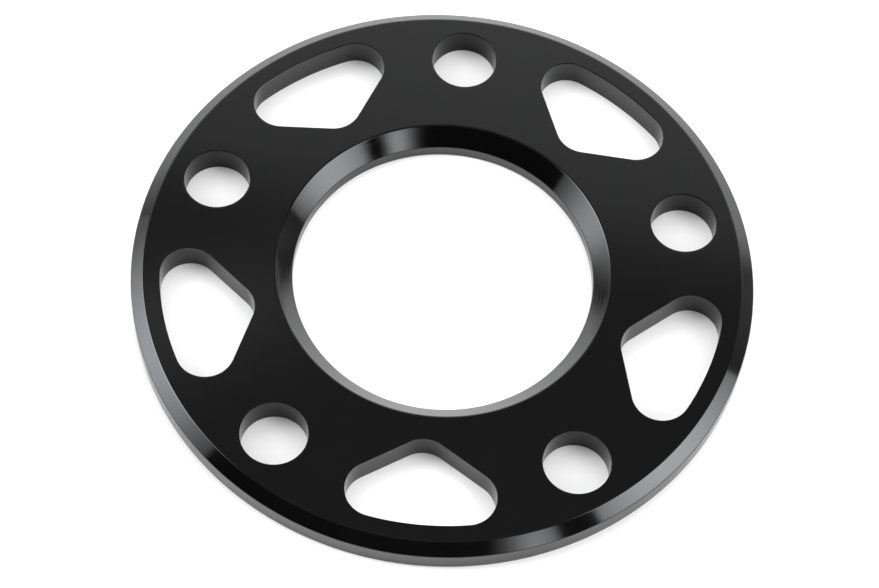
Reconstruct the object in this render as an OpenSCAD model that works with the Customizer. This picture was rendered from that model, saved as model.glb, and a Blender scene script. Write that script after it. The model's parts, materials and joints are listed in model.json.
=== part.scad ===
// Wheel spacer: a flat ring, turned and milled in one piece from aluminium plate.
// It is clamped between a wheel hub and a wheel by the bolts that pass through it.
// The hub side lies at z = 0, the bore runs along Z, and one bolt hole lies on +Y.

/* [Ring] */
// Outside diameter of the ring
ring_d = 150; // [144:0.5:180]
// Thickness of the ring between its two clamping faces
ring_t = 7.5; // [5:0.25:20]
// Width of the rim chamfer, measured across the wheel-side face
rim_chamfer_w = 3; // [0.5:0.1:5]
// Height of the rim chamfer, measured down the outside wall
rim_chamfer_h = 2.2; // [0.5:0.1:4]

/* [Hub bore] */
// Diameter of the bore that centres the ring on the hub
bore_d = 72.6; // [57:0.1:80]
// Width of the bore chamfer, measured across the wheel-side face
bore_chamfer_w = 4; // [0.5:0.1:6]
// Height of the bore chamfer, measured down the bore wall
bore_chamfer_h = 4; // [0.5:0.1:4.5]

/* [Bolt holes] */
// Number of bolt holes, with one window between each two
bolt_count = 5; // [4:1:6]
// Diameter of the circle through the hole centres
bolt_circle_d = 120; // [108:0.1:126]
// Diameter of each bolt hole
bolt_hole_d = 16; // [12:0.1:18]

/* [Windows] */
// Width of the rim left outside each window
window_rim_w = 7; // [5.5:0.1:10]
// Width of metal left between the bore and a window's inner corner
window_bore_w = 10; // [7:0.1:13]
// Angle between the two straight sides of a window
window_angle = 115; // [80:1:150]
// Radius of the three corners of a window
window_corner_r = 7; // [3:0.1:8.5]

/* [Edges] */
// Width and height of the 45 degree break on every edge that has no larger chamfer
edge_break = 0.2; // [0.1:0.05:0.5]

/* [Hidden] */
$fn = 120;

anodised_black = [0.05, 0.05, 0.055];
ring_r = ring_d / 2;
bore_r = bore_d / 2;
bolt_pitch = 360 / bolt_count;
// The first bolt hole lies at this angle, and the first window half a pitch on
first_hole_angle = 90;
first_window_angle = first_hole_angle + bolt_pitch / 2;
// How far every cutter reaches into the open, past the faces and walls that it cuts
cut_over = 1;
// How far the walls between a window's corners stand inside its corner circles,
// so that the outlines cross there and don't only touch
wall_inset = 0.002;

// A window is a three-cornered core, grown all round by the corner radius.
// The core's outer side is an arc about the ring's axis, and its other two are straight.
core_arc_r = ring_r - window_rim_w - window_corner_r;
core_inner = [bore_r + window_bore_w + window_corner_r, 0];
side_angle = window_angle / 2;
// Length of a straight side of the core, from its inner corner out to the arc
core_side = sqrt(core_arc_r ^ 2 - (core_inner.x * sin(side_angle)) ^ 2)
    - core_inner.x * cos(side_angle);
core_outer = core_inner + core_side * [cos(side_angle), sin(side_angle)];
core_half_angle = atan2(core_outer.y, core_outer.x);
window_wall = window_corner_r - wall_inset;

// Half section of the turned ring, as radius and height
module ring_section() {
    polygon([
        [bore_r + edge_break, 0],
        [ring_r - edge_break, 0],
        [ring_r, edge_break],
        [ring_r, ring_t - rim_chamfer_h],
        [ring_r - rim_chamfer_w, ring_t],
        [bore_r + bore_chamfer_w, ring_t],
        [bore_r, ring_t - bore_chamfer_h],
        [bore_r, edge_break],
    ]);
}

// Outline of a window centred on +X: its three corner circles, and what lies between them
module window_outline() {
    side_normal = window_wall * [-sin(side_angle), cos(side_angle)];
    past_arc = core_outer * ring_r / core_arc_r;
    upper = [core_inner + side_normal, core_outer + side_normal, core_outer, past_arc];
    lower = [for (i = [len(upper) - 1 : -1 : 0]) [upper[i].x, -upper[i].y]];
    intersection() {
        circle(core_arc_r + window_wall);
        polygon(concat([core_inner], upper, lower));
    }
    at_window_corners()
        circle(window_corner_r);
}

module at_window_corners() {
    for (corner = [core_inner, core_outer, [core_outer.x, -core_outer.y]])
        translate(corner)
            children();
}

// Copies of a cut made on +X, one for each bolt, starting at an angle
module around_ring(first_angle) {
    for (i = [0 : bolt_count - 1])
        rotate([0, 0, first_angle + i * bolt_pitch])
            children();
}

// A cut made at z = 0 for an upper face, placed on both faces of the ring
module on_both_faces() {
    translate([0, 0, ring_t])
        children();
    mirror([0, 0, 1])
        children();
}

// A flat outline cut right through the ring
module cut_through() {
    translate([0, 0, -cut_over])
        linear_extrude(ring_t + 2 * cut_over)
            children();
}

// Section of an edge break on an upper face, along a wall that stands at x = wall
module break_section(wall) {
    inside = wall - cut_over;
    polygon([
        [inside, -edge_break - cut_over],
        [wall + edge_break + cut_over, cut_over],
        [inside, cut_over],
    ]);
}

module bolt_hole_break() {
    translate([bolt_circle_d / 2, 0, 0])
        rotate_extrude()
            break_section(bolt_hole_d / 2);
}

module window_side_breaks() {
    for (half = [0, 1])
        mirror([0, half, 0])
            translate(core_inner)
                rotate([0, 0, side_angle])
                    rotate([90, 0, 90])
                        linear_extrude(core_side)
                            break_section(window_wall);
}

module window_arc_break() {
    rotate([0, 0, -core_half_angle])
        rotate_extrude(angle = 2 * core_half_angle)
            break_section(core_arc_r + window_wall);
}

module window_corner_breaks() {
    at_window_corners()
        rotate_extrude()
            break_section(window_corner_r);
}

// The turned ring with its holes and windows, their edges still sharp
module pierced_ring() {
    difference() {
        rotate_extrude()
            ring_section();
        around_ring(first_hole_angle)
            cut_through()
                translate([bolt_circle_d / 2, 0])
                    circle(d = bolt_hole_d);
        around_ring(first_window_angle)
            cut_through()
                window_outline();
    }
}

// The edges are broken one kind after another: straight sides, outer arcs, then all that is round
module spacer_ring() {
    color(anodised_black)
        difference() {
            difference() {
                difference() {
                    pierced_ring();
                    on_both_faces()
                        around_ring(first_window_angle)
                            window_side_breaks();
                }
                on_both_faces()
                    around_ring(first_window_angle)
                        window_arc_break();
            }
            on_both_faces() {
                around_ring(first_window_angle)
                    window_corner_breaks();
                around_ring(first_hole_angle)
                    bolt_hole_break();
            }
        }
}

spacer_ring();
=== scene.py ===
import json
import math

import bmesh
import bpy
from mathutils import Matrix, Quaternion, Vector


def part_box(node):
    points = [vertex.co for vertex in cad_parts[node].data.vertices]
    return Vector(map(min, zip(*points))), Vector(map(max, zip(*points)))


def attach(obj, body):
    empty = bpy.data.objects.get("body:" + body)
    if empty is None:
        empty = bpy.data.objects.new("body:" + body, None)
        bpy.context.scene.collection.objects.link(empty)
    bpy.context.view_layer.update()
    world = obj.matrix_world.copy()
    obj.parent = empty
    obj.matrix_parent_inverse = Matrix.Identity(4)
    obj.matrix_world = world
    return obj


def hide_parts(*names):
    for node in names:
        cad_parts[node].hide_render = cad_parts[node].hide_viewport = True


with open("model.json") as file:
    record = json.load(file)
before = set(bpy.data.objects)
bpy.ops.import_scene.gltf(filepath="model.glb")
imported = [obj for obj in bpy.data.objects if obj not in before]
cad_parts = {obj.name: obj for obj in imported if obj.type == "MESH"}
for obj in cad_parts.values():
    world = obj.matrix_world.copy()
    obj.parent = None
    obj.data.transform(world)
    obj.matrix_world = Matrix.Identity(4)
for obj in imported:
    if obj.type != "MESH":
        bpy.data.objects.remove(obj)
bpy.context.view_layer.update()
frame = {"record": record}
scene = bpy.context.scene


# Spacer ring
# One flat ring, cut from aluminium plate. Its rim, bore and both wide chamfers are turned in a
# lathe, its bolt holes are drilled, and its windows are milled through with a slim cutter.
# Every edge is broken and a little rounded, and the whole ring is then anodised black.
mm = 0.001
mounts = {mount["name"]: mount for mount in frame["record"]["mounts"]}
stud_holes = mounts["stud_holes"]["dims"]
ring_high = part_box("spacer_ring")[1]
ring_radius = ring_high.x
ring_thickness = ring_high.z
rim_chamfer_width = 3 * mm
rim_chamfer_height = 2.2 * mm
bore_radius = mounts["hub_bore"]["dims"]["r_mm"] * mm
bore_chamfer_width = 3.9 * mm
bore_chamfer_height = 4.1 * mm
# Edge breaks of the lathe, and the much finer ones of the drill and the milling cutter
turned_break = 0.2 * mm
milled_break = 0.05 * mm
# How far the rounding of an edge reaches along its two faces: on the chamfers, on the lathe's
# narrow breaks, and in the holes and windows
chamfer_round = 0.22 * mm
turned_round = 0.1 * mm
milled_round = 0.02 * mm
round_segments = 3
# Strip of flat face that is made with each wall, so that its rounded edge ends on the flat
face_strip = 0.4 * mm
merge_distance = 0.001 * mm


def section(wall_mesh, corners, roundings, placed=Matrix()):
    """The section of a wall as a chain of edges, each inner corner rounded, placed by a matrix."""
    points = [wall_mesh.verts.new(placed @ Vector((x, 0, z))) for x, z in corners]
    for pair in zip(points, points[1:]):
        wall_mesh.edges.new(pair)
    for point, rounding in zip(points[1:-1], roundings):
        bmesh.ops.bevel(
            wall_mesh,
            geom=[point],
            offset=rounding,
            offset_type="OFFSET",
            segments=round_segments,
            profile=0.5,
            affect="VERTICES",
            material=-1,
        )
    return wall_mesh.verts[:] + wall_mesh.edges[:]


def turn(wall_mesh, wall, centre, angle, steps):
    """Carries a wall round an upright axis, as the work turns in a lathe or a cutter at a corner."""
    whole_turn = abs(angle) >= math.tau
    return bmesh.ops.spin(
        wall_mesh,
        geom=wall,
        cent=centre,
        axis=(0, 0, 1),
        angle=angle,
        steps=steps,
        use_merge=whole_turn,
    )["geom_last"]


def run(wall_mesh, wall, along):
    """Carries a wall straight on."""
    edges = [part for part in wall if isinstance(part, bmesh.types.BMEdge)]
    carried = bmesh.ops.extrude_edge_only(wall_mesh, edges=edges)["geom"]
    verts = [part for part in carried if isinstance(part, bmesh.types.BMVert)]
    bmesh.ops.translate(wall_mesh, verts=verts, vec=along)
    return [part for part in carried if not isinstance(part, bmesh.types.BMFace)]


# The two turned walls, each from the hub side up over its chamfer
turned_walls = [
    [
        (ring_radius - turned_break - face_strip, 0),
        (ring_radius - turned_break, 0),
        (ring_radius, turned_break),
        (ring_radius, ring_thickness - rim_chamfer_height),
        (ring_radius - rim_chamfer_width, ring_thickness),
        (ring_radius - rim_chamfer_width - face_strip, ring_thickness),
    ],
    [
        (bore_radius + turned_break + face_strip, 0),
        (bore_radius + turned_break, 0),
        (bore_radius, turned_break),
        (bore_radius, ring_thickness - bore_chamfer_height),
        (bore_radius + bore_chamfer_width, ring_thickness),
        (bore_radius + bore_chamfer_width + face_strip, ring_thickness),
    ],
]
turned_roundings = [turned_round, turned_round, chamfer_round, chamfer_round]
around_ring_steps = 360
spacer_mesh = bpy.data.meshes.new("black_spacer_ring")
ring = bmesh.new()
for corners in turned_walls:
    turned = bmesh.new()
    wall = section(turned, corners, turned_roundings)
    turn(turned, wall, (0, 0, 0), math.tau, around_ring_steps)
    turned.to_mesh(spacer_mesh)
    turned.free()
    ring.from_mesh(spacer_mesh)


def opening_corners(wall_at):
    """The section of a hole's or a window's wall, with the metal beyond x = wall_at."""
    return [
        (wall_at + milled_break + face_strip, 0),
        (wall_at + milled_break, 0),
        (wall_at, milled_break),
        (wall_at, ring_thickness - milled_break),
        (wall_at + milled_break, ring_thickness),
        (wall_at + milled_break + face_strip, ring_thickness),
    ]


opening_roundings = [milled_round] * 4

# The first bolt hole, which lies on +Y
bolt_count = stud_holes["count"]
bolt_pitch = math.tau / bolt_count
first_bolt_turn = Matrix.Rotation(math.radians(90), 4, "Z")
bolt_hole_radius = stud_holes["hole_r_mm"] * mm
bolt_centre = first_bolt_turn @ Vector((stud_holes["pcd_mm"] / 2 * mm, 0, 0))
around_hole_steps = 120
bolt_hole = bmesh.new()
at_bolt = Matrix.Translation(bolt_centre)
wall = section(bolt_hole, opening_corners(bolt_hole_radius), opening_roundings, at_bolt)
turn(bolt_hole, wall, bolt_centre, math.tau, around_hole_steps)

# The cutter's way round a window: half the inner corner, a straight side, an outer corner, the arc
# about the bore, and back down the other side
window_rim = 7 * mm
window_to_bore = 10 * mm
window_corner_radius = 7 * mm
window_angle = math.radians(115)
window_half_angle = window_angle / 2
corner_steps = 36
window_arc_steps = 48
inner_corner = Vector((bore_radius + window_to_bore + window_corner_radius, 0, 0))
side_along = Vector((math.cos(window_half_angle), math.sin(window_half_angle), 0))
corner_arc_radius = ring_radius - window_rim - window_corner_radius
side_length = (
    math.sqrt(corner_arc_radius ** 2 - (inner_corner.x * side_along.y) ** 2)
    - inner_corner.x * side_along.x
)
outer_corner = inner_corner + side_length * side_along
outer_corner_angle = math.atan2(outer_corner.y, outer_corner.x)
side_normal_angle = window_half_angle + math.radians(90)
half_inner_turn = side_normal_angle - math.radians(180)
outer_turn = outer_corner_angle - side_normal_angle
other_side = Vector((1, -1, 1))
window = bmesh.new()
facing_bore = Matrix.Translation(inner_corner) @ Matrix.Rotation(math.radians(180), 4, "Z")
wall = section(window, opening_corners(window_corner_radius), opening_roundings, facing_bore)
wall = turn(window, wall, inner_corner, half_inner_turn, corner_steps // 2)
wall = run(window, wall, side_length * side_along)
wall = turn(window, wall, outer_corner, outer_turn, corner_steps)
wall = turn(window, wall, (0, 0, 0), -2 * outer_corner_angle, window_arc_steps)
wall = turn(window, wall, outer_corner * other_side, outer_turn, corner_steps)
wall = run(window, wall, -side_length * side_along * other_side)
turn(window, wall, inner_corner, half_inner_turn, corner_steps // 2)
first_window_turn = first_bolt_turn @ Matrix.Rotation(bolt_pitch / 2, 4, "Z")
bmesh.ops.transform(window, matrix=first_window_turn, verts=window.verts)

# Copies of the hole and the window go round the ring, each kind with the finish of its cutter
faced_finish, chamfer_finish, drilled_finish, milled_finish = range(4)
for opening, opening_finish in ((bolt_hole, drilled_finish), (window, milled_finish)):
    bmesh.ops.spin(
        opening,
        geom=opening.verts[:] + opening.edges[:] + opening.faces[:],
        axis=(0, 0, 1),
        angle=math.tau - bolt_pitch,
        steps=bolt_count - 1,
        use_duplicate=True,
    )
    for face in opening.faces:
        face.material_index = opening_finish
    opening.to_mesh(spacer_mesh)
    opening.free()
    ring.from_mesh(spacer_mesh)
bmesh.ops.remove_doubles(ring, verts=ring.verts, dist=merge_distance)

# The two flat clamping faces, between the walls
for face_height in (0, ring_thickness):
    outline = [
        edge
        for edge in ring.edges
        if edge.is_boundary
        and all(abs(vert.co.z - face_height) < merge_distance for vert in edge.verts)
    ]
    bmesh.ops.triangle_fill(ring, edges=outline, use_beauty=True, normal=(0, 0, 1))
bmesh.ops.recalc_face_normals(ring, faces=ring.faces)

# A face counts as flat, or as part of a chamfer, from this rise of its normal on
flat_rise = 0.999
chamfer_rise = 0.5
for face in ring.faces:
    face.smooth = True
    if abs(face.normal.z) > flat_rise:
        face.material_index = faced_finish
    elif face.normal.z > chamfer_rise and face.material_index == faced_finish:
        face.material_index = chamfer_finish
ring.to_mesh(spacer_mesh)
ring.free()
spacer = bpy.data.objects.new("black_spacer_ring", spacer_mesh)
scene.collection.objects.link(spacer)
flat_faces = spacer.modifiers.new("flat_faces_stay_flat", "WEIGHTED_NORMAL")
flat_faces.weight = 100
flat_faces.keep_sharp = True


class Shade:
    """One output of a node in a material. Sums on it add Math nodes."""

    def __init__(self, tree, socket=None):
        self.tree = tree
        self.socket = socket

    def node(self, kind, settings, sockets, output=0):
        made = self.tree.nodes.new(kind)
        for name, value in settings.items():
            setattr(made, name, value)
        for name, value in sockets.items():
            if isinstance(value, Shade):
                self.tree.links.new(value.socket, made.inputs[name])
            else:
                made.inputs[name].default_value = value
        return Shade(self.tree, made.outputs[output] if made.outputs else None)

    def maths(self, operation, first, second):
        return self.node("ShaderNodeMath", {"operation": operation}, {0: first, 1: second})

    def __add__(self, other):
        return self.maths("ADD", self, other)

    def __radd__(self, other):
        return self.maths("ADD", other, self)

    def __sub__(self, other):
        return self.maths("SUBTRACT", self, other)

    def __rsub__(self, other):
        return self.maths("SUBTRACT", other, self)

    def __mul__(self, other):
        return self.maths("MULTIPLY", self, other)

    def __rmul__(self, other):
        return self.maths("MULTIPLY", other, self)

    def __pow__(self, other):
        return self.maths("POWER", self, other)

    def __rpow__(self, other):
        return self.maths("POWER", other, self)

    def __lt__(self, other):
        return self.maths("LESS_THAN", self, other)

    def __gt__(self, other):
        return self.maths("GREATER_THAN", self, other)


def new_material(name):
    """An empty material, and the start of its nodes."""
    material = bpy.data.materials.new(name)
    material.use_nodes = True
    material.node_tree.nodes.clear()
    return material, Shade(material.node_tree)


deep_dye = (0.0008, 0.0008, 0.0009, 1)
thin_dye = (0.0016, 0.0016, 0.0018, 1)
oxide_tint = (0.97, 0.98, 1.0, 1)
dust_grey = (0.09, 0.09, 0.09, 1)
cloud_size = 9 * mm
# Dust may lie once in each cell of this size. It covers a small share of the cell, in few cells.
dust_cell = 4.5 * mm
dust_reach = 0.022
dust_rareness = 0.93


def mix_colours(shade, factor, first, second):
    """A colour between two others, through the Mix node's own colour sockets."""
    sockets = {"Factor": factor, 6: first, 7: second}
    return shade.node("ShaderNodeMix", {"data_type": "RGBA"}, sockets, 2)


def black_anodised(name, refraction, roughness, roughness_change, mark_pitch, mark_depth, mark_run):
    """Black dyed oxide over cutter marks, which follow each other along a mix of radius and height."""
    material, shade = new_material(name)
    place = shade.node("ShaderNodeTexCoord", {}, {}, "Object")
    x = shade.node("ShaderNodeSeparateXYZ", {}, {"Vector": place}, "X")
    y = shade.node("ShaderNodeSeparateXYZ", {}, {"Vector": place}, "Y")
    z = shade.node("ShaderNodeSeparateXYZ", {}, {"Vector": place}, "Z")
    radius = (x ** 2 + y ** 2) ** 0.5
    along_feed = mark_run[0] * radius + mark_run[1] * z
    marks = shade.node(
        "ShaderNodeTexNoise",
        {"noise_dimensions": "1D"},
        {"W": along_feed, "Scale": 1 / mark_pitch, "Detail": 2.0, "Roughness": 0.6},
    )
    cloud = shade.node(
        "ShaderNodeTexNoise",
        {"noise_dimensions": "3D"},
        {"Vector": place, "Scale": 1 / cloud_size, "Detail": 3.0, "Roughness": 0.55},
    )
    dust_sockets = {"Vector": place, "Scale": 1 / dust_cell, "Randomness": 1.0}
    dust_distance = shade.node("ShaderNodeTexVoronoi", {}, dust_sockets, "Distance")
    dust_chance = shade.node("ShaderNodeTexVoronoi", {}, dust_sockets, "Color")
    dust = (dust_distance < dust_reach) * (dust_chance > dust_rareness)
    dye = mix_colours(shade, cloud, deep_dye, thin_dye)
    relief = shade.node(
        "ShaderNodeBump", {}, {"Strength": 1.0, "Distance": mark_depth, "Height": marks}
    )
    finish = shade.node(
        "ShaderNodeBsdfPrincipled",
        {},
        {
            "Base Color": mix_colours(shade, dust, dye, dust_grey),
            "Roughness": roughness + roughness_change * (marks + cloud - 1),
            "IOR": refraction,
            "Specular Tint": oxide_tint,
            "Normal": relief,
        },
    )
    shade.node("ShaderNodeOutputMaterial", {}, {"Surface": finish})
    return material


# The finishes, in the order that the faces count them. The chamfers' deep marks run round the
# ring, so they spread mirrored light up and down only.
finishes = [
    black_anodised(
        "faced_black_anodised", refraction=1.5, roughness=0.1, roughness_change=0.02,
        mark_pitch=0.35 * mm, mark_depth=0.0002 * mm, mark_run=(1, 0),
    ),
    black_anodised(
        "chamfer_black_anodised", refraction=1.5, roughness=0.08, roughness_change=0.015,
        mark_pitch=0.1 * mm, mark_depth=0.005 * mm, mark_run=(1, 0.7),
    ),
    black_anodised(
        "drilled_black_anodised", refraction=1.31, roughness=0.15, roughness_change=0.03,
        mark_pitch=0.25 * mm, mark_depth=0.0002 * mm, mark_run=(0, 1),
    ),
    black_anodised(
        "milled_black_anodised", refraction=1.41, roughness=0.15, roughness_change=0.03,
        mark_pitch=0.25 * mm, mark_depth=0.0002 * mm, mark_run=(0, 1),
    ),
]
for finish in finishes:
    spacer_mesh.materials.append(finish)
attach(spacer, "root")
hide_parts("spacer_ring")


# Lamps and screen
# Upright fabric panels stand one metre from the ring, each lit from behind, so that it glows most
# at one spot. Those at the left and right are strong, and a dim screen with faded ends stands
# behind the ring. A soft lamp overhead lights the table, in a room that is dark but for its ceiling.
lamp_distance = 1


def glowing_panel(name, azimuth, half_angle, low, high, glow, spot_azimuth, spot_height, reach):
    """An upright panel that faces the ring from an azimuth, counted from +X towards +Y. Its glow
    fades from the spot, and the two reaches say how far it carries across and up the panel."""
    half_width = lamp_distance * math.tan(math.radians(half_angle))
    half_height = (high - low) / 2
    sheet = bmesh.new()
    bmesh.ops.create_grid(sheet, x_segments=1, y_segments=1, size=1)
    bmesh.ops.scale(sheet, verts=sheet.verts, vec=(half_width, half_height, 1))
    bmesh.ops.translate(sheet, verts=sheet.verts, vec=(0, low + half_height, 0))
    panel_mesh = bpy.data.meshes.new(name)
    sheet.to_mesh(panel_mesh)
    sheet.free()
    panel = bpy.data.objects.new(name, panel_mesh)
    scene.collection.objects.link(panel)
    panel.matrix_world = (
        Matrix.Rotation(math.radians(azimuth), 4, "Z")
        @ Matrix.Translation((lamp_distance, 0, 0))
        @ Matrix.Rotation(math.radians(-90), 4, "Z")
        @ Matrix.Rotation(math.radians(90), 4, "X")
    )
    panel.visible_camera = False
    material, shade = new_material(name)
    place = shade.node("ShaderNodeTexCoord", {}, {}, "Object")
    spot = (lamp_distance * math.tan(math.radians(azimuth - spot_azimuth)), spot_height, 0)
    from_spot = shade.node("ShaderNodeVectorMath", {"operation": "SUBTRACT"}, {0: place, 1: spot})
    in_reaches = shade.node(
        "ShaderNodeVectorMath", {"operation": "DIVIDE"}, {0: from_spot, 1: (*reach, 1)}
    )
    off_spot = shade.node("ShaderNodeVectorMath", {"operation": "LENGTH"}, {0: in_reaches}, "Value")
    brightness = glow * math.e ** (-1 * off_spot ** 2)
    emission = shade.node("ShaderNodeEmission", {}, {"Color": brightness, "Strength": 1.0})
    shade.node("ShaderNodeOutputMaterial", {}, {"Surface": emission})
    panel_mesh.materials.append(material)


# The lamps at the left, with a dim skirt below, and at the right
glowing_panel(
    "left_panel", azimuth=176, half_angle=29, low=0.13, high=1.9,
    glow=12.0, spot_azimuth=173.5, spot_height=0.88, reach=(0.40, 0.73),
)
glowing_panel(
    "left_skirt", azimuth=176, half_angle=29, low=0.0, high=0.13,
    glow=1.3, spot_azimuth=160, spot_height=0.13, reach=(2.0, 0.2),
)
glowing_panel(
    "right_panel", azimuth=-13, half_angle=24.5, low=0.20, high=1.9,
    glow=9.8, spot_azimuth=-13, spot_height=0.80, reach=(0.50, 0.83),
)
glowing_panel(
    "front_right_panel", azimuth=-59, half_angle=9.6, low=0.35, high=1.2,
    glow=6.4, spot_azimuth=-56, spot_height=0.47, reach=(0.13, 0.5),
)
# The screen behind, its two ends, the wall beyond its right end and a strip of light above it
glowing_panel(
    "back_screen", azimuth=85.7, half_angle=45.7, low=0.0, high=1.665,
    glow=2.2, spot_azimuth=90, spot_height=0.1, reach=(3.0, 1.34),
)
glowing_panel(
    "screen_right_end", azimuth=36.2, half_angle=3.8, low=0.0, high=1.2,
    glow=1.9, spot_azimuth=41, spot_height=0.1, reach=(0.12, 1.34),
)
glowing_panel(
    "screen_left_end", azimuth=139.2, half_angle=7.8, low=0.0, high=1.2,
    glow=2.0, spot_azimuth=130, spot_height=0.1, reach=(0.28, 1.34),
)
glowing_panel(
    "dim_wall", azimuth=22, half_angle=10.4, low=0.0, high=1.0,
    glow=0.5, spot_azimuth=32, spot_height=0.3, reach=(0.4, 0.8),
)
glowing_panel(
    "back_strip", azimuth=109, half_angle=13, low=1.75, high=1.95,
    glow=0.75, spot_azimuth=112, spot_height=1.86, reach=(0.3, 0.3),
)

# The overhead lamp isn't mirrored in the ring
overhead_size = 1.4
overhead_power = 13
overhead_place = (0, 0.35, 1.2)
overhead = bpy.data.lights.new("overhead_lamp", "AREA")
overhead.shape = "SQUARE"
overhead.size = overhead_size
overhead.energy = overhead_power
overhead_lamp = bpy.data.objects.new("overhead_lamp", overhead)
overhead_lamp.location = overhead_place
overhead_lamp.visible_glossy = False
overhead_lamp.visible_camera = False
scene.collection.objects.link(overhead_lamp)

# The room's ceiling glows faintly straight above and fades quickly to the sides
ceiling_glow = 0.28
ceiling_fade = 4
room = bpy.data.worlds.new("dim_room")
room.use_nodes = True
room.node_tree.nodes.clear()
shade = Shade(room.node_tree)
direction = shade.node("ShaderNodeTexCoord", {}, {}, "Generated")
rise = shade.node("ShaderNodeSeparateXYZ", {}, {"Vector": direction}, "Z")
gloom = ceiling_glow * shade.maths("MAXIMUM", rise, 0.0) ** ceiling_fade
dimness = shade.node("ShaderNodeBackground", {}, {"Color": gloom, "Strength": 1.0})
shade.node("ShaderNodeOutputWorld", {}, {"Surface": dimness})
scene.world = room


# White table
# A wide table top of board, painted matt white. The ring lies loose on it, hub side down, and
# the board bounces light up into the holes, the windows and the outer wall.
table_half_width = 4
matt_white = (0.8, 0.8, 0.8, 1)
table_sheet = bmesh.new()
bmesh.ops.create_grid(table_sheet, x_segments=1, y_segments=1, size=table_half_width)
table_mesh = bpy.data.meshes.new("white_table")
table_sheet.to_mesh(table_mesh)
table_sheet.free()
table = bpy.data.objects.new("white_table", table_mesh)
scene.collection.objects.link(table)
table_paint, shade = new_material("white_table")
paint = shade.node("ShaderNodeBsdfDiffuse", {}, {"Color": matt_white})
shade.node("ShaderNodeOutputMaterial", {}, {"Surface": paint})
table_mesh.materials.append(table_paint)


# Camera
# A camera with a long lens stands in front of the table and looks down on the ring, a little
# tilted. Its place, tilt and lens were fitted to the outlines of the ring in the photograph.
camera_azimuth = math.radians(1.155)
camera_elevation = math.radians(60.8405)
camera_roll = math.radians(4.4264)
camera_distance = 659.733 * mm
aim = Vector((-0.409, -3.415, 0)) * mm
film_width = 36
focal_length = 111.65
nearest_seen = 10 * mm
back = Vector((
    math.sin(camera_azimuth) * math.cos(camera_elevation),
    -math.cos(camera_azimuth) * math.cos(camera_elevation),
    math.sin(camera_elevation),
))
lens = bpy.data.cameras.new("camera")
lens.sensor_width = film_width
lens.lens = focal_length
lens.clip_start = nearest_seen
camera = bpy.data.objects.new("camera", lens)
camera.location = aim + camera_distance * back
camera.rotation_mode = "QUATERNION"
camera.rotation_quaternion = (-back).to_track_quat("-Z", "Y") @ Quaternion((0, 0, 1), camera_roll)
scene.collection.objects.link(camera)
scene.camera = camera
scene.view_settings.view_transform = "Standard"
